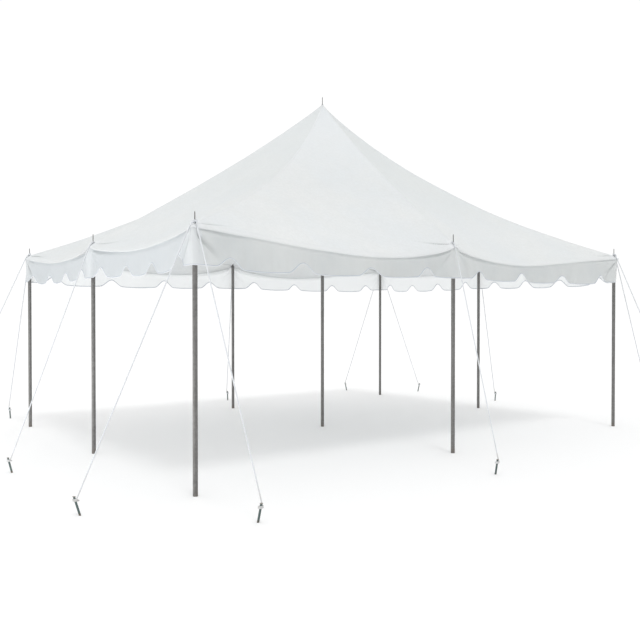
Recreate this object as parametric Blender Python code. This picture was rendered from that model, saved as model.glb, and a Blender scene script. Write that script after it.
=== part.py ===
"""A pole marquee: a white sheet roof held up by one tall centre pole and eight side poles.

Every side pole is held by rope guys that run over the eave to stakes in the ground. Units are metres.
The origin is on the ground under the peak, X runs along the long sides, and the front faces -Y.
"""

from math import cos, exp, pi, radians, tan

import bmesh
import bpy
from mathutils import Matrix, Vector

# Plan and heights
LENGTH = 6.10  # pole line to pole line along X
WIDTH = 4.57  # pole line to pole line along Y
EAVE_HEIGHT = 2.23  # top of the sheet at a side pole
PEAK_HEIGHT = 4.20  # top of the sheet at the centre pole
GAP = 0.0003  # left between pieces that touch
WELD = 1e-6
SHARP = radians(35)  # edges sharper than this stay sharp on round pieces

# Roof sheet
SHEET = 0.005
OVERHANG = 0.035  # of the eave past the pole line on the long sides
CORNER_RIDGE_SAG = 0.30
MIDDLE_RIDGE_SAG = 0.08
RIDGE_SAG_POWERS = (0.8, 1.1)  # of the sag curve towards the peak and towards the pole
RIDGE_SAG_PEAK = 0.275  # greatest value of the sag curve before it is scaled
BAY_SAG = 0.045  # of the eave halfway between two poles, as a share of the way between them
BAY_SAG_POWER = 1.5  # how it grows from the peak to the eave
BAY_INSET = 0.05  # how far the eave curves in there
EYELET_DEPTH = 0.3  # of the cylinder that cuts an eyelet, well past both faces of the sheet
ROOF_ROWS = 8  # of faces from the peak to the pole line
ROW_POWER = 1.5  # above 1, the rows are closer together at the peak
BAY_COLUMNS = 8  # of faces from one pole to the next
SETTLE_STEPS = 4  # to find the place on the sheet over a point of the plan

# Scalloped valance
VALANCE_DROP = 0.375  # from the eave height to the lobes' lower edge at a pole
VALANCE_BELLY = 0.020  # how much lower the lobes are halfway between poles
VALANCE_ROWS = 2
SCALLOPS = 8  # lobes to a side, one of them centred on each pole
SCALLOP_STEPS = (0, 0.15, 0.3, 0.4, 0.5, 0.6, 0.7, 0.85)  # columns within one scallop
NOTCH_HEIGHT = 0.10
NOTCH_WIDTH = 0.40  # as a share of one scallop
FLARE = 0.055  # how far the lobe at a middle pole stands out at its lower edge
CORNER_FLARE = 0.020  # and the lobe at a corner pole
FLARE_REACH = 0.30  # along the side

# Poles
POLE_RADIUS = 0.021
POLE_WALL = 0.002
PLUG = 0.030  # depth of the plug that closes the top of the tube
SHOULDER_RADIUS = 0.008
SHOULDER_RISE = 0.008
SPIKE_RADIUS = 0.0045
SPIKE_SHOWN = 0.095
SPIKE_TAPER = 0.012
SPIKE_TIP = (0.0015, 0.001)  # radius of its flat end, and depth of the rounding there
ROUND_STEPS = 16
SPIKE_STEPS = 12  # sides of the hole that takes a spike

# Guys and stakes
ROPE_RADIUS = 0.0055
ROPE_LIFT = 0.0006  # between the lowest loop and the sheet
RUN_RADIUS = 0.97 * ROPE_RADIUS  # of the straight runs, so that their faces differ from the loops'
LOOP_STEPS = 10
ROPE_STEPS = 6
ROPE_OVER_EDGE = (0.0055, 0.0037)  # rope's centre outside and above the corner of the eave
GUY_REACH = 0.95  # straight out from the pole line to the stake where it enters the ground
GUY_SLANT = 0.48  # how far a middle pole's guy runs along the side, as a share of its reach
STAKE_RADIUS = 0.009
STAKE_HEAD_RADIUS = 0.013
STAKE_HEAD = 0.008
STAKE_CROWN = (0.009, 0.001)  # radius and rise of the head's rounded top
STAKE_SHOWN = 0.150
STAKE_LEAN = radians(17)  # the head leans away from the tent
STAKE_LOOP_HEIGHT = 0.116
SLOPE_STEP = 0.01  # over which the roof's slope at a pole is taken

# The side poles in order round the tent, as halves of the plan
POLE_PLACES = {
    "front_left": (-1, -1),
    "front_middle": (0, -1),
    "front_right": (1, -1),
    "right_middle": (1, 0),
    "back_right": (1, 1),
    "back_middle": (0, 1),
    "back_left": (-1, 1),
    "left_middle": (-1, 0),
}
ROOF_PANELS = (
    "front_left", "front_right", "right_front", "right_back",
    "back_right", "back_left", "left_back", "left_front",
)
SIDES = {"front": (0, -1), "right": (1, 0), "back": (0, 1), "left": (-1, 0)}
EDGE_SCALE = 1 + 2 * OVERHANG / WIDTH  # the eave is the pole line's rectangle, this much larger

MATERIALS = {  # base colour, metallic, roughness
    "white_sheet": ((0.80, 0.82, 0.82), 0.0, 0.55),
    "galvanised_steel": ((0.34, 0.34, 0.34), 0.9, 0.42),
    "white_rope": ((0.78, 0.81, 0.84), 0.0, 0.85),
    "stake_steel": ((0.08, 0.12, 0.11), 0.7, 0.50),
}


def clear_scene():
    for obj in list(bpy.data.objects):
        bpy.data.objects.remove(obj, do_unlink=True)


def collection(name):
    made = bpy.data.collections.new(name)
    bpy.context.scene.collection.children.link(made)
    return made


def material(name):
    colour, metallic, roughness = MATERIALS[name]
    made = bpy.data.materials.new(name)
    made.use_nodes = True
    shader = made.node_tree.nodes["Principled BSDF"]
    shader.inputs["Base Color"].default_value = (*colour, 1)
    shader.inputs["Metallic"].default_value = metallic
    shader.inputs["Roughness"].default_value = roughness
    return made


def add_object(name, bm, finish, where):
    mesh = bpy.data.meshes.new(name)
    bm.to_mesh(mesh)
    bm.free()
    if finish:
        mesh.materials.append(finish)
    obj = bpy.data.objects.new(name, mesh)
    where.objects.link(obj)
    return obj


def add_cutter(name, bm, where):
    cutter = add_object(name, bm, None, where)
    cutter.hide_render = True
    cutter.display_type = "WIRE"
    return cutter


def face_outwards(bm):
    """Turns the faces of a closed shape outwards, also on a thin shell."""
    bmesh.ops.recalc_face_normals(bm, faces=bm.faces)
    if bm.calc_volume(signed=True) < 0:
        bmesh.ops.reverse_faces(bm, faces=bm.faces)


def subtract(obj, cutter):
    cut = obj.modifiers.new(f"cut_{cutter.name}", "BOOLEAN")
    cut.operation = "DIFFERENCE"
    cut.solver = "EXACT"
    cut.object = cutter


def pole_point(place):
    return Vector((place[0] * LENGTH / 2, place[1] * WIDTH / 2))


def ridge_height(place, reach):
    """Height of the sheet's top on the ridge to a pole; reach is 0 at the peak and 1 at the pole."""
    sag = CORNER_RIDGE_SAG if place[0] and place[1] else MIDDLE_RIDGE_SAG
    along = min(max(reach, 0), 1)
    near_peak, near_pole = RIDGE_SAG_POWERS
    curve = along**near_peak * (1 - along) ** near_pole / RIDGE_SAG_PEAK
    return PEAK_HEIGHT - (PEAK_HEIGHT - EAVE_HEIGHT) * reach - sag * curve


def hang(across):
    """0 at both poles of a bay and 1 halfway between them."""
    return 4 * across * (1 - across)


def roof_point(first, second, reach, across):
    """Point of the sheet's top between the ridges to two neighbouring poles."""
    plan = pole_point(first).lerp(pole_point(second), across)
    outward = Vector((0, first[1])) if first[1] == second[1] else Vector((first[0], 0))
    plan = (plan - outward * BAY_INSET * hang(across)) * reach
    ends = ridge_height(first, reach), ridge_height(second, reach)
    sag = BAY_SAG * (pole_point(second) - pole_point(first)).length
    height = ends[0] + (ends[1] - ends[0]) * across - sag * reach**BAY_SAG_POWER * hang(across)
    return Vector((*plan, height))


def roof_height(x, y):
    """Height of the sheet's top over a point of the plan."""
    half = LENGTH / 2, WIDTH / 2
    on_end = abs(x) / half[0] > abs(y) / half[1]
    depth, run = (abs(x), abs(y)) if on_end else (abs(y), abs(x))
    half_depth, half_run = half if on_end else (half[1], half[0])
    reach, across = depth / half_depth, 0
    for _ in range(SETTLE_STEPS):
        across = run / half_run / reach if reach else 0
        reach = depth / (half_depth - BAY_INSET * hang(across))
    middle, corner = ((1, 0), (1, 1)) if on_end else ((0, 1), (1, 1))
    return roof_point(middle, corner, reach, across).z


def closed_grid(columns, rows):
    """A closed sheet whose X and Y count columns and rows, and whose Z is 0 above and -SHEET below."""
    bm = bmesh.new()
    bmesh.ops.create_grid(bm, x_segments=columns, y_segments=rows, size=1)
    for vert in bm.verts:
        vert.co.x = (vert.co.x + 1) / 2 * columns
        vert.co.y = (vert.co.y + 1) / 2 * rows
    for made in bmesh.ops.extrude_face_region(bm, geom=bm.faces[:])["geom"]:
        if isinstance(made, bmesh.types.BMVert):
            made.co.z = -SHEET
    return bm


def make_roof_panel(name, first, second, finish, where, hole_cutters):
    """One gore of the roof, between the vertical planes of two ridges."""
    inner = (SPIKE_RADIUS + GAP) / (WIDTH / 2)
    reaches = [inner + (1 - inner) * (row / ROOF_ROWS) ** ROW_POWER for row in range(ROOF_ROWS + 1)]
    reaches.append(EDGE_SCALE)
    bm = closed_grid(BAY_COLUMNS, len(reaches) - 1)
    for vert in bm.verts:
        column, row = round(vert.co.x), round(vert.co.y)
        point = roof_point(first, second, reaches[row], column / BAY_COLUMNS)
        if column in (0, BAY_COLUMNS):
            ridge = pole_point(first if column == 0 else second).normalized()
            inward = Vector((-ridge.y, ridge.x)) * (1 if column == 0 else -1)
            point += Vector((*inward, 0)) * (GAP / 2)
        vert.co = point + Vector((0, 0, vert.co.z))
    face_outwards(bm)
    panel = add_object(name, bm, finish, where)
    for place in (first, second):
        subtract(panel, hole_cutters[place])
    return panel


def make_hole_cutters(where):
    """A cylinder at each side pole, for the eyelet that its spike comes through."""
    cutters = {}
    for name, place in POLE_PLACES.items():
        bm = bmesh.new()
        bmesh.ops.create_cone(
            bm, cap_ends=True, segments=SPIKE_STEPS,
            radius1=SPIKE_RADIUS + GAP, radius2=SPIKE_RADIUS + GAP, depth=EYELET_DEPTH,
            matrix=Matrix.Translation((*pole_point(place), EAVE_HEIGHT)),
        )
        cutters[place] = add_cutter(f"eyelet_{name}", bm, where)
    return cutters


def side_run(side):
    """Half the pole line's length along a side, and half the plan's depth to that side."""
    return (LENGTH / 2, WIDTH / 2) if side[1] else (WIDTH / 2, LENGTH / 2)


def valance_columns():
    """Places along a side, from -1 at one corner to 1 at the other, close together at each notch."""
    steps = [(lobe + step) / SCALLOPS for lobe in range(SCALLOPS) for step in SCALLOP_STEPS]
    return [2 * step - 1 for step in [*steps, 1]]


def notch(along):
    """How far the lower edge is cut up, from 0 on a lobe to 1 in the middle of a notch."""
    phase = (along + 1) / 2 * SCALLOPS % 1 - 0.5
    return cos(pi * phase / NOTCH_WIDTH) ** 2 if abs(phase) < NOTCH_WIDTH / 2 else 0


def valance_point(side, along, down, inward):
    """Point of a side's valance: along the side, down from the eave, and in from its outer face."""
    half_run, half_depth = side_run(side)
    across = abs(along)
    middle = side
    corner = (1, side[1]) if side[1] else (side[0], 1)
    edge = roof_point(middle, corner, EDGE_SCALE, across)
    out = abs(edge.y if side[1] else edge.x) - half_depth * EDGE_SCALE
    top = edge.z - SHEET - GAP
    low = EAVE_HEIGHT - VALANCE_DROP - VALANCE_BELLY * hang(across) + NOTCH_HEIGHT * notch(along)
    from_pole = min(across, 1 - across) * half_run
    flare = CORNER_FLARE if across > 0.5 else FLARE
    out += flare * exp(-((from_pole / FLARE_REACH) ** 2)) * down - inward
    corner_out = CORNER_FLARE * down - inward - GAP / 2
    run = along * (half_run * EDGE_SCALE + corner_out)
    depth = half_depth * EDGE_SCALE + out
    x, y = (run * -side[1], depth * side[1]) if side[1] else (depth * side[0], run * side[0])
    return Vector((x, y, top + (low - top) * down))


def make_valance(name, side, finish, where):
    columns = valance_columns()
    bm = closed_grid(len(columns) - 1, VALANCE_ROWS)
    for vert in bm.verts:
        down = vert.co.y / VALANCE_ROWS
        vert.co = valance_point(side, columns[round(vert.co.x)], down, -vert.co.z)
    face_outwards(bm)
    return add_object(name, bm, finish, where)


def turned(profile, steps):
    """A closed round shape from (radius, height) points that start and end on its axis."""
    bm = bmesh.new()
    verts = [bm.verts.new((radius, 0, height)) for radius, height in profile]
    edges = [bm.edges.new(pair) for pair in zip(verts, verts[1:])]
    bmesh.ops.spin(
        bm, geom=[*verts, *edges], cent=(0, 0, 0), axis=(0, 0, 1), angle=2 * pi, steps=steps,
    )
    bmesh.ops.remove_doubles(bm, verts=bm.verts, dist=WELD)
    face_outwards(bm)
    for face in bm.faces:
        face.smooth = True
    return bm


def make_pole(name, plan, sheet_top, finish, where):
    """A tube open at the foot, closed by a plug whose spike goes through the sheet's eyelet."""
    rim = [Matrix.Rotation(2 * pi * step / ROUND_STEPS, 2) @ Vector((POLE_RADIUS, 0))
           for step in range(ROUND_STEPS)]
    top = min(roof_height(*(plan + point)) for point in rim) - SHEET - GAP
    tip = sheet_top + SPIKE_SHOWN
    tip_radius, tip_depth = SPIKE_TIP
    profile = (
        (0, tip),
        (tip_radius, tip - tip_depth),
        (SPIKE_RADIUS, tip - SPIKE_TAPER),
        (SPIKE_RADIUS, top + SHOULDER_RISE),
        (SHOULDER_RADIUS, top + SHOULDER_RISE),
        (POLE_RADIUS, top),
        (POLE_RADIUS, 0),
        (POLE_RADIUS - POLE_WALL, 0),
        (POLE_RADIUS - POLE_WALL, top - PLUG),
        (0, top - PLUG),
    )
    pole = add_object(name, turned(profile, ROUND_STEPS), finish, where)
    pole.data.set_sharp_from_angle(angle=SHARP)
    pole.location = (*plan, 0)
    return pole


def make_stake(name, plan, outward, finish, where):
    """The part of a stake above the ground, sheared so that its foot is level."""
    crown_radius, crown_rise = STAKE_CROWN
    profile = (
        (0, STAKE_SHOWN),
        (crown_radius, STAKE_SHOWN - crown_rise),
        (STAKE_HEAD_RADIUS, STAKE_SHOWN - STAKE_HEAD / 2),
        (STAKE_RADIUS, STAKE_SHOWN - STAKE_HEAD),
        (STAKE_RADIUS, 0),
        (0, 0),
    )
    stake = add_object(name, turned(profile, SPIKE_STEPS), finish, where)
    stake.data.transform(lean(outward))
    stake.data.set_sharp_from_angle(angle=SHARP)
    stake.location = (*plan, 0)
    return stake


def lean(outward):
    """A shear that moves a point outward as it rises."""
    shear = Matrix.Identity(4)
    shear[0][2] = outward.x * tan(STAKE_LEAN)
    shear[1][2] = outward.y * tan(STAKE_LEAN)
    return shear


def tilt(slope):
    """A shear that raises a point by the slope, in metres for each metre along X and Y."""
    shear = Matrix.Identity(4)
    shear[2][0], shear[2][1] = slope
    return shear


def loop_radius(round_radius):
    """Radius to the middle of a rope ring whose flats just clear a round piece."""
    return (round_radius + GAP) / cos(pi / LOOP_STEPS) + ROPE_RADIUS * cos(pi / ROPE_STEPS)


def rope_loop(radius, place):
    """A closed ring of rope, sheared and put in its place by a matrix."""
    bm = bmesh.new()
    ring = bmesh.ops.create_circle(
        bm, segments=ROPE_STEPS, radius=ROPE_RADIUS,
        matrix=Matrix.Translation((radius, 0, 0)) @ Matrix.Rotation(pi / 2, 4, "X"),
    )
    bmesh.ops.spin(
        bm, geom=[*ring["verts"], *bm.edges], cent=(0, 0, 0), axis=(0, 0, 1),
        angle=2 * pi, steps=LOOP_STEPS,
    )
    bmesh.ops.remove_doubles(bm, verts=bm.verts, dist=WELD)
    bmesh.ops.transform(bm, matrix=place, verts=bm.verts)
    face_outwards(bm)
    return bm


def rope_tube(name, points):
    """The straight runs of a guy as one bevelled curve made into a mesh."""
    curve = bpy.data.curves.new(name, "CURVE")
    curve.dimensions = "3D"
    curve.bevel_depth = RUN_RADIUS
    curve.bevel_resolution = 1
    curve.use_fill_caps = True
    spline = curve.splines.new("POLY")
    spline.points.add(len(points) - 1)
    for knot, point in zip(spline.points, points):
        knot.co = (*point, 1)
    guide = bpy.data.objects.new(name, curve)
    bpy.context.scene.collection.objects.link(guide)
    graph = bpy.context.evaluated_depsgraph_get()
    mesh = bpy.data.meshes.new_from_object(guide.evaluated_get(graph))
    bpy.data.objects.remove(guide, do_unlink=True)
    bm = bmesh.new()
    bm.from_mesh(mesh)
    bpy.data.meshes.remove(mesh)
    bmesh.ops.remove_doubles(bm, verts=bm.verts, dist=WELD)
    face_outwards(bm)
    return bm


def make_guy(name, place, outward, level, finish, where, helpers):
    """A rope with a loop over the spike, over the eave, and down to a loop round its stake.

    level counts the loops already on the spike.
    """
    pole = pole_point(place)
    inward = -pole.normalized()
    rise = (roof_height(*(pole + inward * SLOPE_STEP)) - EAVE_HEIGHT) / SLOPE_STEP
    slope = inward * rise
    eye_radius = loop_radius(SPIKE_RADIUS)
    lift = ROPE_RADIUS + ROPE_LIFT + level * (2 * ROPE_RADIUS + GAP)
    eye = Matrix.Translation((*pole, EAVE_HEIGHT + lift)) @ tilt(slope)

    down_roof = Vector((*outward, slope.dot(outward)))
    tube_lift = Vector((0, 0, ROPE_RADIUS * (down_roof.length - 1)))
    leaves = eye.translation + down_roof * eye_radius + tube_lift
    clears = leaves + down_roof * 2 * ROPE_RADIUS
    side = side_faced(outward)
    slanted = 1 / outward.dot(side)
    edge = pole + outward * pole.dot(side) * (EDGE_SCALE - 1) * slanted
    beyond = edge + outward * ROPE_OVER_EDGE[0] * slanted
    over = Vector((*beyond, roof_height(*edge) + ROPE_OVER_EDGE[1]))

    foot = pole + outward * (GUY_REACH * slanted + tan(STAKE_LEAN) * STAKE_LOOP_HEIGHT)
    hitch_radius = loop_radius(STAKE_RADIUS)
    hitch = Matrix.Translation((*foot, STAKE_LOOP_HEIGHT)) @ lean(outward)
    arrives = hitch.translation - Vector((*outward, 0)) * hitch_radius

    rope = add_object(name, rope_tube(name, (leaves, clears, over, arrives)), finish, where)
    for part, radius, at in (("eye", eye_radius, eye), ("hitch", hitch_radius, hitch)):
        join = rope.modifiers.new(part, "BOOLEAN")
        join.operation = "UNION"
        join.solver = "EXACT"
        join.object = add_cutter(f"{part}_{name}", rope_loop(radius, at), helpers)
    return rope


def side_faced(outward):
    """The way straight out from the side that a guy runs over."""
    return Vector((round(outward.x), round(outward.y)))


def guys_of(place):
    """The directions of a pole's guys.

    A corner pole's two run straight out from its sides, and a middle pole's one runs aslant.
    """
    sides = [Vector(way) for way in ((place[0], 0), (0, place[1])) if way != (0, 0)]
    if len(sides) == 1:
        return [(sides[0] + sides[0].yx * GUY_SLANT).normalized()]
    return sides


def main():
    clear_scene()
    tent = collection("marquee_tent")
    helpers = collection("helpers")
    finishes = {name: material(name) for name in MATERIALS}
    sheet, steel = finishes["white_sheet"], finishes["galvanised_steel"]

    cutters = make_hole_cutters(helpers)
    places = list(POLE_PLACES.values())
    for index, panel in enumerate(ROOF_PANELS):
        first, second = places[index], places[(index + 1) % len(places)]
        make_roof_panel(f"roof_panel_{panel}", first, second, sheet, tent, cutters)
    for name, side in SIDES.items():
        make_valance(f"valance_{name}", side, sheet, tent)

    make_pole("centre_pole", Vector((0, 0)), PEAK_HEIGHT, steel, tent)
    for name, place in POLE_PLACES.items():
        make_pole(f"side_pole_{name}", pole_point(place), EAVE_HEIGHT, steel, tent)
        for level, outward in enumerate(guys_of(place)):
            guy = name if len(guys_of(place)) == 1 else f"{name}_{'end' if outward.x else 'face'}"
            make_guy(f"guy_{guy}", place, outward, level, finishes["white_rope"], tent, helpers)
            slanted = 1 / outward.dot(side_faced(outward))
            foot = pole_point(place) + outward * GUY_REACH * slanted
            make_stake(f"stake_{guy}", foot, outward, finishes["stake_steel"], tent)


main()
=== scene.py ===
"""The looks of a white pole marquee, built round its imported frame. Units are metres."""

import math

import bpy
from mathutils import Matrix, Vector
from mathutils.bvhtree import BVHTree


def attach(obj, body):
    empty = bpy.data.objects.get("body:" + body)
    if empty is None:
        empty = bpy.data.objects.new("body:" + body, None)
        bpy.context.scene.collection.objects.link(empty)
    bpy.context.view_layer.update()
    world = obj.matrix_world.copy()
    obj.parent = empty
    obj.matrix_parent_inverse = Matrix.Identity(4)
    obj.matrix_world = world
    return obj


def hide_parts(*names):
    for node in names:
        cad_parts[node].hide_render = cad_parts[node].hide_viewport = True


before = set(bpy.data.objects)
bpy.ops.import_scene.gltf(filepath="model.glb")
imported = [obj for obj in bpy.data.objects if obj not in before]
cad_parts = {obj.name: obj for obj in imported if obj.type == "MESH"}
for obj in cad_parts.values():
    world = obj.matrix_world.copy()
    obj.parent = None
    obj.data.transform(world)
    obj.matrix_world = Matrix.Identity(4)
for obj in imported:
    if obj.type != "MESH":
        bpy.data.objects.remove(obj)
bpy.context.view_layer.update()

# Camera and studio: the tent is seen at eye height, off its front left corner. It stands on a
# plain white floor under an almost even white sky, a little brighter behind it, with a soft
# lamp high in front of it and a long low one beside its left end.
scene = bpy.context.scene
scene.view_settings.view_transform = "Standard"

lens = bpy.data.cameras.new("camera")
lens.sensor_width = 36
lens.lens = 41.9
lens.clip_end = 500
camera = bpy.data.objects.new("camera", lens)
camera.location = (-5.904, -7.729, 1.514)
camera.rotation_euler = (math.radians(89.28), 0, math.radians(-37.19))
scene.collection.objects.link(camera)
scene.camera = camera


class Wire:
    """A node's socket that can stand in a sum; each sum adds its Math node to the same tree."""

    def __init__(self, socket):
        self.socket = socket

    def output(self, name):
        return Wire(pick(self.socket.node.outputs, name))

    def math(self, operation, *others):
        values = dict(enumerate((self, *others)))
        return add_node(self.socket.id_data, "ShaderNodeMath", {"operation": operation}, values)

    def reversed_math(self, operation, other):
        return add_node(
            self.socket.id_data, "ShaderNodeMath", {"operation": operation}, {0: other, 1: self}
        )

    def __add__(self, other):
        return self.math("ADD", other)

    def __radd__(self, other):
        return self.reversed_math("ADD", other)

    def __sub__(self, other):
        return self.math("SUBTRACT", other)

    def __rsub__(self, other):
        return self.reversed_math("SUBTRACT", other)

    def __mul__(self, other):
        return self.math("MULTIPLY", other)

    def __rmul__(self, other):
        return self.reversed_math("MULTIPLY", other)

    def __truediv__(self, other):
        return self.math("DIVIDE", other)

    def __pow__(self, other):
        return self.math("POWER", other)

    def __neg__(self):
        return self.math("MULTIPLY", -1)

    def __abs__(self):
        return self.math("ABSOLUTE")

    def __gt__(self, other):
        return self.math("GREATER_THAN", other)

    def __lt__(self, other):
        return self.math("LESS_THAN", other)

    def at_least(self, other):
        return self.math("MAXIMUM", other)

    def at_most(self, other):
        return self.math("MINIMUM", other)

    def between(self, low, high):
        """0 up to low, 1 from high on, and a smooth rise in between."""
        return add_node(
            self.socket.id_data, "ShaderNodeMapRange", {"interpolation_type": "SMOOTHSTEP"},
            {"Value": self, "From Min": low, "From Max": high, "To Min": 0, "To Max": 1},
        )

    def bell(self, reach):
        """1 where this is 0, and a smooth fall to 0 on both sides."""
        return (-((self / reach) ** 2)).math("EXPONENT")


def pick(sockets, name):
    """The socket in use that has this name, or that comes at this place."""
    used = [socket for socket in sockets if socket.enabled]
    return used[name] if isinstance(name, int) else next(s for s in used if s.name == name)


def add_node(tree, kind, settings=None, inputs=None, output=0):
    """Adds a node, makes its settings, then its values and links, and gives one output."""
    made = tree.nodes.new(kind)
    for name, value in (settings or {}).items():
        setattr(made, name, value)
    for name, value in (inputs or {}).items():
        socket = pick(made.inputs, name)
        if isinstance(value, Wire):
            tree.links.new(value.socket, socket)
        else:
            socket.default_value = value
    return Wire(pick(made.outputs, output))


floor_paint = bpy.data.materials.new("floor_paint")
floor_paint.use_nodes = True
floor_shader = floor_paint.node_tree.nodes["Principled BSDF"]
floor_shader.inputs["Base Color"].default_value = (0.93, 0.93, 0.93, 1)
floor_shader.inputs["Roughness"].default_value = 0.9
floor_shader.inputs["Specular IOR Level"].default_value = 0.1
floor_half = 120
floor_mesh = bpy.data.meshes.new("floor")
floor_mesh.from_pydata(
    [(-floor_half, -floor_half, 0), (floor_half, -floor_half, 0),
     (floor_half, floor_half, 0), (-floor_half, floor_half, 0)],
    [], [(0, 1, 2, 3)],
)
floor_mesh.materials.append(floor_paint)
floor = bpy.data.objects.new("floor", floor_mesh)
scene.collection.objects.link(floor)

sky = bpy.data.worlds.new("sky")
sky.use_nodes = True
scene.world = sky
sky_shader = sky.node_tree.nodes["Background"]
sky_shader.inputs["Color"].default_value = (1, 1, 1, 1)
sky_side = add_node(
    sky.node_tree, "ShaderNodeVectorMath", {"operation": "DOT_PRODUCT"},
    {0: add_node(sky.node_tree, "ShaderNodeTexCoord", output="Generated"), 1: (0.15, 1.0, 0)},
    "Value",
)
sky.node_tree.links.new((0.99 + sky_side * 0.04).socket, sky_shader.inputs["Strength"])

lamp = bpy.data.lights.new("high_lamp", "SUN")
lamp.energy = 0.56
lamp.angle = math.radians(16)
lamp_holder = bpy.data.objects.new("high_lamp", lamp)
lamp_holder.rotation_euler = Vector((-0.12, -0.47, 0.87)).to_track_quat("Z", "Y").to_euler()
scene.collection.objects.link(lamp_holder)

side_lamp = bpy.data.lights.new("low_side_lamp", "AREA")
side_lamp.shape = "RECTANGLE"
side_lamp.size = 4
side_lamp.size_y = 0.6
side_lamp.energy = 76
side_holder = bpy.data.objects.new("low_side_lamp", side_lamp)
side_holder.location = (-7.2, -0.8, 0.25)
side_holder.visible_camera = False
side_holder.rotation_euler = Vector((-4.1, -0.6, -1.75)).to_track_quat("Z", "Y").to_euler()
scene.collection.objects.link(side_holder)


# Poles: nine round steel tubes, zinc coated in a hot bath and dulled by weather. The tall one
# stands in the middle and eight hold the eave, each with a plugged top whose thin spike
# goes through the sheet. They have their shapes from the frame and get their finish here.
def start_material(name):
    """A new material with an empty tree and the node that it ends in."""
    made = bpy.data.materials.new(name)
    made.use_nodes = True
    made.node_tree.nodes.clear()
    return made, made.node_tree


def end_material(tree, shader):
    ending = tree.nodes.new("ShaderNodeOutputMaterial")
    tree.links.new(shader.socket, ending.inputs["Surface"])


def mixed(tree, share, first, second):
    """Two colours mixed by a share, where 0 is the first."""
    return add_node(
        tree, "ShaderNodeMix", {"data_type": "RGBA"}, {"Factor": share, "A": first, "B": second}
    )


def coordinates(tree, kind="Object"):
    return add_node(tree, "ShaderNodeTexCoord", output=kind)


def one_axis(tree, place, axis):
    return add_node(tree, "ShaderNodeSeparateXYZ", None, {"Vector": place}, axis)


def stretched(tree, scales):
    """Object coordinates, stretched so that a pattern is longer along one way."""
    return add_node(
        tree, "ShaderNodeMapping", None, {"Vector": coordinates(tree), "Scale": scales}
    )


def bumped(tree, strength, distance, height):
    """The normal of a relief that is this many metres deep where its height goes from 0 to 1."""
    return add_node(tree, "ShaderNodeBump", None, {
        "Strength": strength, "Distance": distance, "Height": height,
    })


def noise(tree, where, scale, detail=2.0, roughness=0.5):
    return add_node(
        tree, "ShaderNodeTexNoise", None,
        {"Vector": where, "Scale": scale, "Detail": detail, "Roughness": roughness},
    )


zinc, tree = start_material("weathered_zinc")
place = coordinates(tree)
height = one_axis(tree, place, "Z")
streaks = noise(tree, stretched(tree, (90, 90, 1.3)), 1, 3)
clouds = noise(tree, place, 9, 3)
spangle = add_node(tree, "ShaderNodeTexVoronoi", None, {"Vector": place, "Scale": 55}, "Color")
flakes = add_node(tree, "ShaderNodeSeparateColor", None, {"Color": spangle}, "Red")
soiled = (1 - height.between(0.0, 0.09)) * clouds.between(0.25, 0.75)
tone = streaks * 0.5 + clouds * 0.3 + flakes * 0.2
steel_colour = mixed(
    tree, tone.between(0.2, 0.8), (0.14, 0.138, 0.134, 1), (0.225, 0.223, 0.218, 1)
)
steel_colour = mixed(tree, soiled * 0.7, steel_colour, (0.16, 0.13, 0.10, 1))
grain = bumped(tree, 0.25, 0.0006, streaks * 0.6 + flakes * 0.4)
end_material(tree, add_node(tree, "ShaderNodeBsdfPrincipled", None, {
    "Base Color": steel_colour, "Metallic": 0.85 - soiled * 0.6,
    "Roughness": 0.42 + streaks * 0.12 + soiled * 0.3, "Normal": grain,
}))


def finish_nodes(word, material):
    """Gives a material to the frame's nodes that have this word in their names."""
    for name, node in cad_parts.items():
        if word in name:
            for material_slot in node.material_slots:
                material_slot.material = material


finish_nodes("pole", zinc)

# Stakes: twelve steel pins driven into the ground and leaning away from the tent. Their dark
# green paint is worn off the hammered heads and soiled where they enter the ground.
stake_paint, tree = start_material("worn_green_paint")
place = coordinates(tree)
height = one_axis(tree, place, "Z")
chips = noise(tree, place, 160, 4, 0.65)
patches = noise(tree, place, 38, 2)
worn = (height.between(0.136, 0.149) * 0.55 + chips * 0.55 + patches * 0.25).between(0.62, 0.72)
soiled = (1 - height.between(0.004, 0.030)) * patches.between(0.3, 0.6)
paint = mixed(tree, patches, (0.055, 0.088, 0.083, 1), (0.085, 0.122, 0.118, 1))
paint = mixed(tree, worn, paint, (0.32, 0.30, 0.27, 1))
paint = mixed(tree, soiled * 0.8, paint, (0.14, 0.10, 0.07, 1))
dents = bumped(tree, 0.5, 0.0008, patches * 0.6 - worn * 0.4 + chips * 0.2)
end_material(tree, add_node(tree, "ShaderNodeBsdfPrincipled", None, {
    "Base Color": paint, "Metallic": worn * 0.8,
    "Roughness": 0.42 + patches * 0.15 + soiled * 0.3, "Normal": dents,
}))
finish_nodes("stake_", stake_paint)

# Roof sheet: one sheet of white coated polyester, welded from eight gores that meet on the
# ridges. The centre pole holds up its peak and the side poles its eave, and it hangs in a
# shallow curve between them, with creases from each side pole's top that run beside the eave.
roof_sizes = {
    "Half Length": 3.05,
    "Half Width": 2.285,
    "Eave Height": 2.23,
    "Peak Height": 4.20,
    "Overhang": 0.035,
    "Corner Ridge Sag": 0.30,
    "Middle Ridge Sag": 0.08,
    "Bay Sag": 0.041,
    "Bay Skew": 0.7,
    "Pole Dip": 0.022,
    "Bay Inset": 0.05,
    "Spike Hole": 0.0048,
    "Lip Drop": 0.014,
    "Lip Reach": 0.004,
    "Crease Depth": 0.036,
    "Crease Reach": 0.24,
    "Billow": 0.014,
    "Columns": 704,
    "Rows": 118,
    "Lip Rows": 5,
}
CREASES = 11  # that a full circle round a pole's top would have
ON_EDGE = 0.99999  # from this share of the half length or width on, a place is on that side
RIDGE_SAG_PEAK = 0.275  # greatest value of the sag curve before it is scaled
DIP_REACH = 0.08  # over which the eave drops beside a pole
WELD_WIDTH = 0.018  # from a ridge to the edge of its weld
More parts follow.
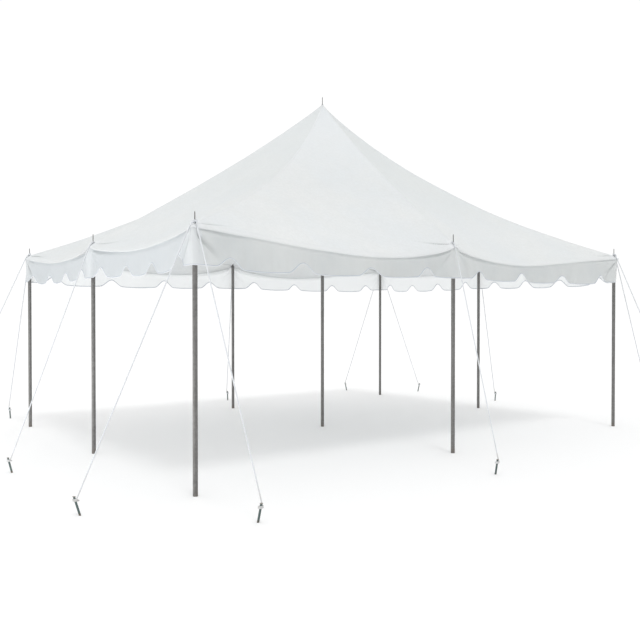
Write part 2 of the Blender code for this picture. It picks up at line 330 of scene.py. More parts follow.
HEM_WIDTH = 0.045
PATCH_RADIUS = 0.045  # of the doubled cloth round a pole's top


def begin_tree(name, sizes):
    """A Geometry Nodes tree with a guide and named sizes going in, and those inputs as wires."""
    made = bpy.data.node_groups.new(name, "GeometryNodeTree")
    made.interface.new_socket("Guide", in_out="INPUT", socket_type="NodeSocketGeometry")
    for size, value in sizes.items():
        kind = "NodeSocketInt" if isinstance(value, int) else "NodeSocketFloat"
        made.interface.new_socket(size, in_out="INPUT", socket_type=kind)
    made.interface.new_socket("Piece", in_out="OUTPUT", socket_type="NodeSocketGeometry")
    given = made.nodes.new("NodeGroupInput")
    return made, {socket.name: Wire(socket) for socket in given.outputs if socket.name}


def end_tree(tree, shape, finish):
    """Ends a tree with its copies made real, shaded smooth, and in one finish."""
    smooth = add_node(tree, "GeometryNodeSetShadeSmooth", None, {0: shape})
    real = add_node(tree, "GeometryNodeRealizeInstances", None, {0: smooth})
    done = add_node(tree, "GeometryNodeSetMaterial", None, {0: real, "Material": finish})
    ending = tree.nodes.new("NodeGroupOutput")
    tree.links.new(done.socket, ending.inputs[0])


def make_piece(name, tree, sizes, guide=None):
    """Runs a tree on its guide and keeps what it makes as a plain mesh at the origin."""
    rough = bpy.data.objects.new(f"{name}_rough", guide or bpy.data.meshes.new(name))
    scene.collection.objects.link(rough)
    shaping = rough.modifiers.new("shape", "NODES")
    shaping.node_group = tree
    for socket in tree.interface.items_tree:
        if socket.name in sizes:
            shaping[socket.identifier] = sizes[socket.name]
    graph = bpy.context.evaluated_depsgraph_get()
    mesh = bpy.data.meshes.new_from_object(
        rough.evaluated_get(graph), preserve_all_data_layers=True, depsgraph=graph
    )
    rough.modifiers.remove(shaping)
    bpy.data.objects.remove(rough)
    made = bpy.data.objects.new(name, mesh)
    scene.collection.objects.link(made)
    return made


def store(tree, shape, name, value, kind="FLOAT", domain="POINT"):
    return add_node(
        tree, "GeometryNodeStoreNamedAttribute", {"data_type": kind, "domain": domain},
        {"Geometry": shape, "Name": name, "Value": value},
    )


def pole_line(way):
    """Halves of the plan at a place on the pole line, which runs from 0 to 8 round the tent."""
    half_x = (2 - abs(way - 3)).at_least(-1).at_most(1)
    half_y = (2 - abs(way - 5)).at_least(-1).at_most(1)
    return half_x, half_y


def own_place(tree):
    """A point's place in a Geometry Nodes tree, with outputs X, Y and Z."""
    return one_axis(tree, add_node(tree, "GeometryNodeInputPosition"), "X")


def grid(tree, columns, rows):
    """A grid, with the place round the tent, 0 to 8, and the share of the way down it."""
    shape = add_node(tree, "GeometryNodeMeshGrid", None, {
        "Size X": 8, "Size Y": 1, "Vertices X": columns + 1, "Vertices Y": rows + 1,
    })
    spot = own_place(tree)
    return shape, spot.output("X") + 4, 0.5 - spot.output("Y")


def crowd(way, share):
    """Moves places round the tent towards the poles, so that the columns are close there."""
    return way - (way * 2 * math.pi).math("SINE") * (share / (2 * math.pi))


def crease(angle, count, shift):
    """A share from 0 to 1 that is 1 in each of some narrow creases round an angle."""
    return (1 - abs((angle * (count / 2) + shift).math("SINE"))) ** 2.5


def vector(tree, x, y, z):
    return add_node(tree, "ShaderNodeCombineXYZ", None, {0: x, 1: y, 2: z})


def placed(tree, shape, x, y, z):
    """Moves a grid's points to their places and joins those that meet."""
    moved = add_node(tree, "GeometryNodeSetPosition", None, {
        "Geometry": shape, "Position": vector(tree, x, y, z),
    })
    return add_node(
        tree, "GeometryNodeMergeByDistance", None, {"Geometry": moved, "Distance": 0.0001}
    )


def attribute(tree, name):
    """A named value of the mesh, for its material."""
    return add_node(tree, "ShaderNodeAttribute", {"attribute_name": name}, None, "Fac")


def plain_weave(tree, cloth_place):
    """The crossing threads of a plain weave."""
    across, along = (
        add_node(tree, "ShaderNodeTexWave", {"bands_direction": way}, {
            "Vector": cloth_place, "Scale": 55, "Distortion": 0.4,
        }) for way in "XY"
    )
    return across.at_most(along)


def eave_edge(size, way, reach):
    """Plan and height of the roof at a place round the tent and out from the peak."""
    half_x, half_y = pole_line(way)
    across = abs(half_x).at_most(abs(half_y))
    hang = 4 * across * (1 - across)
    on_long_side = abs(half_y) > ON_EDGE
    inset = size["Bay Inset"] * hang
    half_length = size["Half Length"] - inset * (1 - on_long_side)
    half_width = size["Half Width"] - inset * on_long_side
    along = reach.at_most(1)
    curve = along ** 0.8 * (1 - along).at_least(0) ** 1.1 / RIDGE_SAG_PEAK
    ridge_sag = size["Middle Ridge Sag"] + (
        size["Corner Ridge Sag"] - size["Middle Ridge Sag"]
    ) * across
    span = size["Half Width"] + (size["Half Length"] - size["Half Width"]) * on_long_side
    drop = (size["Peak Height"] - size["Eave Height"]) * reach
    uneven = 1 + size["Bay Skew"] * (1 - across * 2) * on_long_side
    bay_sag = size["Bay Sag"] * span * reach ** 1.5 * hang * uneven
    dip = size["Pole Dip"] * (1 - (across * span / -DIP_REACH).math("EXPONENT")) * (1 - across)
    bay_sag = bay_sag + dip * reach ** 4
    height = size["Peak Height"] - drop - ridge_sag * curve - bay_sag
    return half_x, half_y, half_length, half_width, height, across, span


cloth, tree = start_material("white_coated_cloth")
place = coordinates(tree)
height = one_axis(tree, place, "Z")
cloth_place = coordinates(tree, "UV")
ridge_gap = attribute(tree, "ridge_gap")
eave_gap = attribute(tree, "eave_gap")
pole_gap = attribute(tree, "pole_gap")
crease_shade = attribute(tree, "crease_shade")
gore_shading = attribute(tree, "gore_shading")
weave = plain_weave(tree, cloth_place)
mottle = noise(tree, place, 1.3, 4, 0.6)
smudge = noise(tree, place, 6, 3, 0.6)
crumple = add_node(
    tree, "ShaderNodeTexVoronoi", {"feature": "DISTANCE_TO_EDGE"},
    {"Vector": add_node(tree, "ShaderNodeVectorMath", {"operation": "ADD"}, {
        0: place,
        1: add_node(tree, "ShaderNodeTexNoise", None, {"Vector": place, "Scale": 1.1}, "Color"),
    }), "Scale": 1.7},
    "Distance",
)
folds = 1 - crumple.between(0.0, 0.035)
welds = 1 - ridge_gap.between(WELD_WIDTH, WELD_WIDTH + 0.002)
hem = 1 - eave_gap.between(HEM_WIDTH, HEM_WIDTH + 0.002)
near_pole_top = 1 - pole_gap.between(PATCH_RADIUS, PATCH_RADIUS + 0.05)
doubled = welds.at_least(hem).at_least(near_pole_top)
grain = noise(tree, place, 34, 3, 0.65)
pale = mixed(
    tree, mottle.between(0.3, 0.7), (0.742, 0.768, 0.782, 1), (0.772, 0.784, 0.782, 1)
)
pale = mixed(tree, smudge.between(0.35, 0.75) * 0.25, pale, (0.71, 0.72, 0.71, 1))
pale = mixed(tree, grain.between(0.38, 0.62) * 0.35, pale, (0.69, 0.71, 0.71, 1))
# Painted light and shade by gore: the upper part of some gores is painted paler and bluer as
# painted light, and the other gores are painted darker, most towards the peak, as painted shade.
pale = mixed(tree, height.between(2.7, 4.0) * (1 - gore_shading) * 0.6, pale, (0.83, 0.86, 0.89, 1))
pale = mixed(
    tree, gore_shading * (0.2 + 0.4 * height.between(2.4, 3.1)), pale, (0.67, 0.70, 0.695, 1)
)
pale = mixed(tree, welds.at_least(hem) * 0.35, pale, (0.70, 0.715, 0.72, 1))
pale = mixed(tree, near_pole_top * 0.5, pale, (0.82, 0.84, 0.86, 1))
# Painted shade: the creases beside the eave are painted darker.
pale = mixed(tree, crease_shade.between(0.07, 0.38) * 0.75, pale, (0.36, 0.38, 0.38, 1))
relief = bumped(
    tree, 0.6, 0.002, doubled * 0.35 - folds * 0.5 + smudge * 0.6 + weave * 0.06
)
cloth_shine = add_node(tree, "ShaderNodeBsdfPrincipled", None, {
    "Base Color": pale, "Roughness": 0.48 + smudge * 0.14, "Normal": relief,
    "Specular IOR Level": 0.12,
})
cloth_glow = add_node(
    tree, "ShaderNodeBsdfTranslucent", None, {"Color": pale, "Normal": relief}
)
end_material(tree, add_node(tree, "ShaderNodeMixShader", None, {
    0: 0.22 - doubled * 0.08, 1: cloth_shine, 2: cloth_glow,
}))

tree, size = begin_tree("roof_sheet", roof_sizes)
shape, way, share = grid(tree, size["Columns"], size["Rows"] + size["Lip Rows"])
way = crowd(way, 0.78)
row = share * (size["Rows"] + size["Lip Rows"])
lip = ((row - size["Rows"]) / size["Lip Rows"]).at_least(0)
edge_reach = 1 + size["Overhang"] / size["Half Width"]
inner = size["Spike Hole"] / size["Half Width"]
out = 1 - (1 - (row / size["Rows"]).at_most(1)) ** 1.5
reach = inner + (edge_reach - inner) * out
half_x, half_y, half_length, half_width, height, across, span = eave_edge(size, way, reach)
lip_turn = lip * (math.pi / 2)
lip_out = size["Lip Reach"] * lip_turn.math("SINE")
x = half_x * (half_length * reach + lip_out)
y = half_y * (half_width * reach + lip_out)

pole_x, pole_y = pole_line(way.math("ROUND"))
from_x = x - pole_x * size["Half Length"]
from_y = y - pole_y * size["Half Width"]
from_pole = (from_x * from_x + from_y * from_y).math("SQRT")
angle = from_y.math("ARCTAN2", from_x)
turn = way.math("ROUND").math("FLOORED_MODULO", 8)
inward = (-pole_y).math("ARCTAN2", -pole_x)
shift = (noise(tree, vector(tree, x, y, 0), 2.3, 1) - 0.5) * 2.4 - inward * (CREASES / 2)
uneven = noise(tree, vector(tree, angle * 0.9, turn, 0), 1.6, 1).between(0.35, 0.65)
off_inward = (angle - inward).math("COSINE").math("ARCCOSINE")
off_eave = (math.pi / 2) - (math.pi / 4) * (across > 0.5) - off_inward
beside_eave = off_eave.between(0.02, 0.14) * (1 - off_eave.between(0.35, 0.80))
creases = crease(angle, CREASES, shift) * (0.5 + 0.5 * uneven) * (beside_eave + 0.08)
fade = from_pole.between(0.012, 0.05) * (-from_pole / size["Crease Reach"]).math("EXPONENT")
billow = (noise(tree, vector(tree, x, y, 3.1), 1.5, 3) - 0.5) * 2 * (from_pole / 0.4).at_most(1)
lift = billow * size["Billow"] - creases * fade * size["Crease Depth"]
lift = lift * (reach / 0.15).at_most(1)
z = height + lift - size["Lip Drop"] * (1 - lip_turn.math("COSINE"))

ridge_gap = abs(way - way.math("ROUND")) * span * reach
on_short_side = abs(half_y) < ON_EDGE
eave_gap = (edge_reach - reach) * (half_width + (half_length - half_width) * on_short_side)
for name, value in {
    "crease_shade": creases * fade,
    "gore_shading": (way.math("FLOOR") * 0.63 + 0.2).math("FRACT"),
    "ridge_gap": ridge_gap,
    "eave_gap": eave_gap,
    "pole_gap": from_pole,
}.items():
    shape = store(tree, shape, name, value)
cloth_x = (way - way.math("ROUND")) * span * reach
shape = store(tree, shape, "UVMap", vector(tree, cloth_x, reach * 3.2, 0), "FLOAT2", "CORNER")
end_tree(tree, placed(tree, shape, x, y, z), cloth)
roof = make_piece("roof_sheet", tree, roof_sizes)
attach(roof, "root")
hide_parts(*(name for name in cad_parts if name.startswith("roof_panel_")))

# Valance: a strip of thinner cloth sewn under the eave, cut in eight lobes to a side and bound
# along its lower edge. It hangs free, gathers in creases under each pole top and hangs in
# shallow waves between the notches. Its outer face is painted greyer than the roof, partly a
# greyer cloth and partly painted shade, and its inner face is painted near white, painted
# light where it stands in the tent's shade. Painted shade darkens its creases, and painted
# light makes its lobes at the pole tops and its left end paler.
valance_cloth, tree = start_material("valance_cloth")
place = coordinates(tree)
cloth_place = coordinates(tree, "UV")
down = attribute(tree, "down")
crease_shade = attribute(tree, "crease_shade")
pole_gap = attribute(tree, "pole_gap")
near_pole_top = attribute(tree, "near_pole_top")
inside = add_node(tree, "ShaderNodeNewGeometry", output="Backfacing")
weave = plain_weave(tree, cloth_place)
mottle = noise(tree, place, 2.1, 4, 0.6)
smudge = noise(tree, stretched(tree, (9, 9, 3)), 1, 3, 0.6)
# The outer face is greyer than the roof's cloth, partly a greyer cloth and partly painted shade
# for its upright faces.
pale = mixed(
    tree, mottle.between(0.3, 0.7), (0.640, 0.665, 0.670, 1), (0.690, 0.708, 0.705, 1)
)
pale = mixed(tree, smudge.between(0.4, 0.8) * down * 0.5, pale, (0.60, 0.61, 0.60, 1))
# Painted light: the left end is painted paler and bluer.
lit_left_end = one_axis(tree, place, "X") < 0.05 - roof_sizes["Half Length"]
pale = mixed(tree, lit_left_end * 0.5, pale, (0.72, 0.76, 0.80, 1))
# Painted light: the lobes round each pole top, most of all at the corners, are painted paler.
pale = mixed(tree, near_pole_top * 0.5, pale, (0.80, 0.82, 0.82, 1))
# Painted shade: the creases are painted darker.
pale = mixed(tree, crease_shade.between(0.15, 0.8) * 0.55, pale, (0.40, 0.42, 0.42, 1))
# Painted light: the inner face is painted near white, where it stands in the tent's shade.
pale = mixed(tree, inside, pale, (0.93, 0.945, 0.95, 1))
relief = bumped(tree, 0.6, 0.002, smudge + mottle * 0.5 + weave * 0.06)
end_material(tree, add_node(tree, "ShaderNodeMixShader", None, {
    0: 0.50 - (1 - pole_gap.between(0.03, 0.15)) * (1 - inside) * 0.30,
    1: add_node(tree, "ShaderNodeBsdfPrincipled", None, {
        "Base Color": pale, "Roughness": 0.5 + smudge * 0.14, "Normal": relief,
        "Specular IOR Level": 0.3,
    }),
    2: add_node(tree, "ShaderNodeBsdfTranslucent", None, {"Color": pale, "Normal": relief}),
}))

valance_sizes = {
    **{name: roof_sizes[name] for name in (
        "Half Length", "Half Width", "Eave Height", "Peak Height", "Overhang",
        "Corner Ridge Sag", "Middle Ridge Sag", "Bay Sag", "Bay Skew", "Pole Dip", "Bay Inset",
    )},
    "Drop": 0.375,
    "Belly": 0.020,
    "Bow": 0.016,
    "Notch Height": 0.086,
    "Notch Width": 0.43,
    "Flare": 0.012,
    "Corner Flare": 0.018,
    "Flare Reach": 0.30,
    "Corner Lift": 0.030,
    "Corner Round": 0.11,
    "Tuck": 0.032,
    "Wave": 0.016,
    "Pleat Depth": 0.014,
    "Crease Depth": 0.034,
    "Crease Reach": 0.34,
    "Columns": 1440,
    "Rows": 30,
}
RING = 3.5  # radius of a circle round the tent, on which a noise meets its own start
VALANCE_CREASES = 11  # that a full circle round a pole's top would have
PAIR_ANGLE = 0.80  # off straight down, of the two strongest creases at a pole
PAIR_WIDTH = 0.12  # of each, in radians
SEAM_DROP = 0.004  # from the roof's surface to the valance's upper edge
LIFT_REACH = 0.32  # along a side, of the raised lobe at a corner
TUCK_HOLD = 0.26  # along a side, up to which the cloth stays tucked under the eave
TUCK_FADE = 0.30  # over which the tuck gets weaker beyond that
CORNER_LEAST = 0.02  # radius of the corner's round at the eave
TINY = 0.000001  # keeps a division off zero
tree, size = begin_tree("valance", valance_sizes)
shape, way, down = grid(tree, size["Columns"], size["Rows"])
way = crowd(way, 0.35)
edge_reach = 1 + size["Overhang"] / size["Half Width"]
half_x, half_y, half_length, half_width, height, across, span = eave_edge(size, way, edge_reach)
ring_x = (way * (math.pi / 4)).math("COSINE") * RING
ring_y = (way * (math.pi / 4)).math("SINE") * RING
hang = 4 * across * (1 - across)
near = way - way.math("ROUND")
from_pole = abs(near) * span
turn = way.math("ROUND").math("FLOORED_MODULO", 8)

# The lower edge, with notches of uneven width, height and place
uneven = noise(tree, vector(tree, ring_x, ring_y, 0), 0.9, 1) - 0.5
ragged = noise(tree, vector(tree, ring_x, ring_y, 7), 1.4, 1) - 0.5
phase = (way * 4 + uneven * 0.22 * hang).math("FRACT") - 0.5
notch_width = size["Notch Width"] * (1 + ragged * 0.9)
notch = (phase * math.pi / notch_width).math("COSINE") ** 2 * (abs(phase) < notch_width / 2)
bow = size["Bow"] * (1 - abs((phase * math.pi).math("SINE")) ** 1.5)
top = height - SEAM_DROP
lift = size["Corner Lift"] * (across > 0.5) * from_pole.bell(LIFT_REACH)
low = size["Eave Height"] - size["Drop"] - size["Belly"] * hang + bow + lift + notch * (
    size["Notch Height"] * (1 + uneven * 0.9)
)
z = top + (low - top) * down
below = height - z

# How far the cloth stands out from the eave
flare = size["Corner Flare"] + (size["Flare"] - size["Corner Flare"]) * (across < 0.5)
flare = flare * from_pole.bell(size["Flare Reach"]) * down
beyond = (from_pole - TUCK_HOLD).at_least(0)
tuck = size["Tuck"] * (1.4 - across) * (1 - below.between(0.012, 0.055)) * (
    0.04 + from_pole.between(0.03, 0.11) * (0.25 + 0.70 * beyond.bell(TUCK_FADE))
)
angle = (near * span).math("ARCTAN2", below)
radius = (from_pole * from_pole + below * below).math("SQRT")
drift = noise(tree, vector(tree, ring_x, ring_y, down), 1.3, 1)
strength = noise(tree, vector(tree, angle * 1.1, turn * 3.3, 2), 1.5, 1).between(0.35, 0.62)
creases = crease(angle, VALANCE_CREASES, math.pi / 2 + (drift - 0.5) * 3)
creases = creases * (0.25 + 0.75 * strength)
creases = creases * (0.1 + 0.5 * abs(angle).between(0.30, 0.62))
pair = (abs(angle) - PAIR_ANGLE - (drift - 0.5) * 0.5).bell(PAIR_WIDTH)
pair = pair * (0.8 + 0.2 * strength) * (0.45 + 0.55 * (across > 0.5))
creases = creases.at_least(pair)
creases = creases * radius.between(0.03, 0.13)
creases = creases * radius.bell(size["Crease Reach"])
pleats = (noise(tree, vector(tree, ring_x, ring_y, down * 0.3), 2.4, 2) - 0.5) * 2 * down
wave = (way * (8 * math.pi) + uneven * 3).math("SINE") * size["Wave"] * down ** 1.5
wave = wave * (0.35 + 1.3 * (ragged + 0.5)) * (from_pole / 0.12).at_most(1)
puff = pleats * size["Pleat Depth"] + wave - creases * size["Crease Depth"] - tuck

flare_corner = size["Corner Flare"] * down
on_long_side = abs(half_y) > ON_EDGE
run_x = size["Half Length"] * edge_reach + flare_corner
run_y = size["Half Width"] * edge_reach + flare_corner
deep_x = half_length * edge_reach + flare + puff
deep_y = half_width * edge_reach + flare + puff
x = abs(half_x) * (run_x * on_long_side + deep_x * (1 - on_long_side))
y = abs(half_y) * (deep_y * on_long_side + run_y * (1 - on_long_side))
corner = size["Corner Round"] * down + CORNER_LEAST
from_x = (x - run_x + corner).at_least(TINY)
from_y = (y - run_y + corner).at_least(TINY)
pull = from_x.at_least(from_y) / (from_x * from_x + from_y * from_y).math("SQRT")
rounded = (from_x > TINY * 10) * (from_y > TINY * 10)
x = (x + from_x * (pull - 1) * rounded) * half_x.math("SIGN")
y = (y + from_y * (pull - 1) * rounded) * half_y.math("SIGN")
for name, value in {
    "down": down,
    "crease_shade": creases,
    "pole_gap": from_pole,
    "near_pole_top": (1 - from_pole.between(0.05, 0.28)) * (0.15 + 0.85 * (across > 0.5)),
}.items():
    shape = store(tree, shape, name, value)
shape = store(tree, shape, "UVMap", vector(tree, near * span, below, 0), "FLOAT2", "CORNER")
end_tree(tree, placed(tree, shape, x, y, z), valance_cloth)
valance = make_piece("valance", tree, valance_sizes)
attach(valance, "root")
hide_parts(*(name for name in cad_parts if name.startswith("valance_")))

# Binding: a pale tape folded over the valance's cut edge, its lower rim painted dark grey-blue
# as painted shade under the tape, sewn on with one line of stitches. It runs round all four
# sides, over every lobe and notch.
binding_tape, tree = start_material("binding_tape")
place = coordinates(tree)
rim = attribute(tree, "rim")
ribs = noise(tree, place, 420, 2)
faded = noise(tree, place, 5, 3)
tape = mixed(tree, faded.between(0.3, 0.7), (0.62, 0.65, 0.68, 1), (0.72, 0.74, 0.76, 1))
# Painted shade: the tape's lower rim is painted dark grey-blue.
tape = mixed(tree, rim.between(0.30, 0.45) * (0.6 + 0.4 * faded), tape, (0.24, 0.30, 0.39, 1))
end_material(tree, add_node(tree, "ShaderNodeBsdfPrincipled", None, {
    "Base Color": mixed(tree, ribs * 0.25, tape, (0.70, 0.73, 0.76, 1)), "Roughness": 0.85,
    "Normal": bumped(tree, 0.4, 0.0004, ribs),
}))
binding_sizes = {"Half Thick": 0.0019, "Half Tall": 0.0055, "Raise": 0.0035, "Step": 0.012}
LOWER_EDGE = (0.9999, 1.1)  # shares of the way down that only the last line of edges is in
STITCH_LINE = (0.955, 0.97)  # and those that only the line above it is in


def edge_line(tree, guide, low, high):
    """The valance's line of edges whose share of the way down is between two values."""
    down = add_node(
        tree, "GeometryNodeInputNamedAttribute", {"data_type": "FLOAT"}, {"Name": "down"}
    )
    return add_node(tree, "GeometryNodeMeshToCurve", None, {
        0: guide, "Selection": (down > low) * (down < high),
    })


def swept(tree, line, step, across, up, sides=8):
    """A line made into a flat band that stands upright, of half sizes across and up."""
    path = add_node(
        tree, "GeometryNodeResampleCurve", {"mode": "LENGTH"}, {"Curve": line, "Length": step}
    )
    path = add_node(tree, "GeometryNodeSetCurveNormal", {"mode": "Z_UP"}, {"Curve": path})
    ring = add_node(
        tree, "GeometryNodeCurvePrimitiveCircle", None, {"Resolution": sides, "Radius": 1}
    )
    ring = store(tree, ring, "rim", -own_place(tree).output("Y"))
    ring = add_node(tree, "GeometryNodeTransform", None, {
        "Geometry": ring, "Scale": vector(tree, across, up, 1),
    })
    return add_node(tree, "GeometryNodeCurveToMesh", None, {
        "Curve": path, "Profile Curve": ring, "Fill Caps": True,
    })


tree, size = begin_tree("valance_binding", binding_sizes)
lower_edge = edge_line(tree, size["Guide"], *LOWER_EDGE)
band = swept(tree, lower_edge, size["Step"], size["Half Thick"], size["Half Tall"])
band = add_node(tree, "GeometryNodeSetPosition", None, {
    "Geometry": band, "Offset": vector(tree, 0.0, 0.0, size["Raise"]),
})
end_tree(tree, band, binding_tape)
binding = make_piece("valance_binding", tree, binding_sizes, valance.data.copy())
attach(binding, "root")

# Stitches: white thread along the binding, along both edges of each ridge weld and along the
# eave's hem, sunk a little into the cloth.
thread, tree = start_material("white_thread")
place = coordinates(tree)
strand = noise(tree, place, 900, 2)
end_material(tree, add_node(tree, "ShaderNodeBsdfPrincipled", None, {
    "Base Color": mixed(tree, strand, (0.62, 0.64, 0.66, 1), (0.82, 0.83, 0.84, 1)),
    "Roughness": 0.7,
}))
stitch_sizes = {"Pitch": 0.011, "Half Long": 0.0036, "Half Thick": 0.0008}


def add_stitches(name, lines, guide):
    """One stitch at each step along the lines that a guide gives."""
    tree, size = begin_tree(name, stitch_sizes)
    points = add_node(tree, "GeometryNodeCurveToPoints", {"mode": "LENGTH"}, {
        "Curve": lines(tree, size["Guide"]), "Length": size["Pitch"],
    })
    stitch = add_node(tree, "GeometryNodeMeshIcoSphere", None, {"Radius": 1.0, "Subdivisions": 1})
    stitches = add_node(tree, "GeometryNodeInstanceOnPoints", None, {
        "Points": points, "Instance": stitch, "Rotation": points.output("Rotation"),
        "Scale": vector(tree, size["Half Thick"], size["Half Thick"], size["Half Long"]),
    })
    end_tree(tree, stitches, thread)
    made = make_piece(name, tree, stitch_sizes, guide)
    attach(made, "root")
    return made


def line_mesh(name, lines):
    """A mesh of open lines of points, to guide a tree."""
    mesh = bpy.data.meshes.new(name)
    points = [point for line in lines for point in line]
    edges = []
    start = 0
    for line in lines:
        edges += [(start + count, start + count + 1) for count in range(len(line) - 1)]
        start += len(line)
    mesh.from_pydata(points, edges, [])
    return mesh


roof_surface = BVHTree.FromPolygons(
    [vert.co for vert in roof.data.vertices], [face.vertices for face in roof.data.polygons]
)


def on_roof(x, y, above=0.0):
    """The point of the roof over a place of the plan."""
    hit = roof_surface.ray_cast(Vector((x, y, 9)), Vector((0, 0, -1)))[0]
    return Vector((x, y, hit.z + above))


HALF_LENGTH, HALF_WIDTH = roof_sizes["Half Length"], roof_sizes["Half Width"]
STITCH_RISE = 0.0004  # of a stitch's middle over the cloth
WELD_STITCHES = 0.015  # from a ridge to the stitches on both sides of it
WELD_START, WELD_RUN = 0.03, 0.955  # of a ridge's length, where they begin and how far they go
WELD_POINTS = 0.04  # about this far apart on a weld's line
HEM_STITCHES = (0.008, 0.042)  # in from the eave
HEM_POINTS = 60  # on a hem's line from pole to pole
POLES = {
    "front_left": (-1, -1), "front_middle": (0, -1), "front_right": (1, -1),
    "right_middle": (1, 0), "back_right": (1, 1), "back_middle": (0, 1),
    "back_left": (-1, 1), "left_middle": (-1, 0),
}
pole_tops = {
    name: Vector((half[0] * HALF_LENGTH, half[1] * HALF_WIDTH)) for name, half in POLES.items()
}
weld_lines = []
for top in pole_tops.values():
    sideways = Vector((-top.y, top.x)).normalized() * WELD_STITCHES
    for side in (-1, 1):
        steps = round(top.length / WELD_POINTS)
        weld_lines.append([
            on_roof(
                *(top * (WELD_START + WELD_RUN * step / steps) + sideways * side), STITCH_RISE
            )
            for step in range(steps + 1)
        ])


def plan_line(in_from_edge):
    """A closed line round the roof, this far in from the eave."""
    tops = list(pole_tops.values())
    points = []
    for count, first in enumerate(tops):
        second = tops[(count + 1) % len(tops)]
        for step in range(HEM_POINTS):
            across = step / HEM_POINTS
            spot = first.lerp(second, across)
            inset = roof_sizes["Bay Inset"] * 4 * across * (1 - across)
            reach_in = roof_sizes["Overhang"] - in_from_edge
            if first.y == second.y:
                spot = Vector((
                    spot.x * (1 + reach_in / HALF_LENGTH),
                    math.copysign(HALF_WIDTH - inset + reach_in, spot.y),
                ))
            else:
                spot = Vector((
                    math.copysign(HALF_LENGTH - inset + reach_in, spot.x),
                    spot.y * (1 + reach_in / HALF_WIDTH),
                ))
            points.append(on_roof(*spot, STITCH_RISE))
    return [*points, points[0]]


hem_lines = [plan_line(in_from_edge) for in_from_edge in HEM_STITCHES]


def drawn_lines(tree, guide):
    return add_node(tree, "GeometryNodeMeshToCurve", None, {0: guide})


weld_stitches = add_stitches("weld_stitches", drawn_lines, line_mesh("weld_lines", weld_lines))
hem_stitches = add_stitches("hem_stitches", drawn_lines, line_mesh("hem_lines", hem_lines))
binding_stitches = add_stitches(
    "binding_stitches", lambda tree, guide: edge_line(tree, guide, *STITCH_LINE),
    valance.data.copy(),
)

# Eyelets: a rolled zinc ring round each spike where it comes through the sheet, pressed into
# the doubled cloth.
eyelet_zinc, tree = start_material("eyelet_zinc")
place = coordinates(tree)
scuffs = noise(tree, place, 260, 3)
end_material(tree, add_node(tree, "ShaderNodeBsdfPrincipled", None, {
    "Base Color": mixed(tree, scuffs, (0.30, 0.31, 0.33, 1), (0.55, 0.56, 0.58, 1)),
    "Metallic": 0.9, "Roughness": 0.28 + scuffs * 0.3,
}))
eyelet_sizes = {"Ring": 0.0115, "Half Wide": 0.0045, "Half Tall": 0.0013, "Step": 0.0015}
tree, size = begin_tree("eyelets", eyelet_sizes)
path = add_node(
    tree, "GeometryNodeCurvePrimitiveCircle", None, {"Resolution": 40, "Radius": size["Ring"]}
)
rolled = swept(tree, path, size["Step"], size["Half Wide"], size["Half Tall"], 10)
facing = add_node(tree, "FunctionNodeAlignRotationToVector", {"axis": "Z"}, {
    "Vector": add_node(
        tree, "GeometryNodeInputNamedAttribute", {"data_type": "FLOAT_VECTOR"}, {"Name": "facing"}
    ),
})
points = add_node(tree, "GeometryNodeMeshToPoints", None, {"Mesh": size["Guide"]})
rings = add_node(tree, "GeometryNodeInstanceOnPoints", None, {
    "Points": points, "Instance": rolled, "Rotation": facing,
})
end_tree(tree, rings, eyelet_zinc)

SLOPE_NEAR, SLOPE_FAR = 0.004, 0.030  # inwards from a pole, where the roof's slope is taken
RING_RISE = 0.0008  # of a ring's middle over the cloth
PEAK_RING_DROP = 0.009  # of the ring at the peak, under the peak's height


def slope_at(plan):
    """How much the roof rises, in metres for each metre along X and Y, just inside a pole."""
    if not plan.length:
        return Vector((0, 0))
    inward = -plan.normalized()
    near, far = (on_roof(*(plan + inward * way)) for way in (SLOPE_NEAR, SLOPE_FAR))
    return inward * (far.z - near.z) / (SLOPE_FAR - SLOPE_NEAR)


spots = [*pole_tops.values(), Vector((0, 0))]
ring_places = bpy.data.meshes.new("ring_places")
peak_ring = Vector((0, 0, roof_sizes["Peak Height"] - PEAK_RING_DROP))
ring_places.from_pydata([
    on_roof(*spot, RING_RISE) if spot.length else peak_ring for spot in spots
], [], [])
ring_places.attributes.new("facing", "FLOAT_VECTOR", "POINT").data.foreach_set("vector", [
    value for spot in spots for value in (-slope_at(spot).x, -slope_at(spot).y, 1)
])
eyelets = make_piece("eyelets", tree, eyelet_sizes, ring_places)
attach(eyelets, "root")

# Guys: twelve white ropes of three twisted strands. The upper end is turned back into an eye
# that drops over the spike, the rope runs over the eave, and its lower end goes about twice round
# a stake and stands off it. A corner's two run straight out, and a middle pole's one runs aslant.
rope_fibre, tree = start_material("white_rope")
place = coordinates(tree)
height = one_axis(tree, place, "Z")
lay = attribute(tree, "lay")
fuzz = noise(tree, place, 700, 2)
stain = noise(tree, place, 14, 3)
# Painted shade: the grooves between the strands are painted darker.
groove_shade = 1 - lay.between(0.0, 0.55)
fibre = mixed(tree, stain, (0.72, 0.745, 0.775, 1), (0.78, 0.80, 0.82, 1))
fibre = mixed(tree, groove_shade * 0.32, fibre, (0.44, 0.46, 0.50, 1))
muddy = (1 - height.between(0.05, 0.40)) * stain.between(0.3, 0.7)
fibre = mixed(tree, muddy * 0.5, fibre, (0.36, 0.32, 0.26, 1))
end_material(tree, add_node(tree, "ShaderNodeBsdfPrincipled", None, {
    "Base Color": fibre, "Roughness": 0.8 + fuzz * 0.1,
    "Normal": bumped(tree, 0.5, 0.0004, fuzz),
}))
rope_sizes = {"Radius": 0.0062, "Pitch": 0.031, "Step": 0.0035}
tree, size = begin_tree("twisted_rope", rope_sizes)
path = add_node(tree, "GeometryNodeMeshToCurve", None, {0: size["Guide"]})
path = add_node(
    tree, "GeometryNodeCurveSplineType", {"spline_type": "CATMULL_ROM"}, {"Curve": path}
)
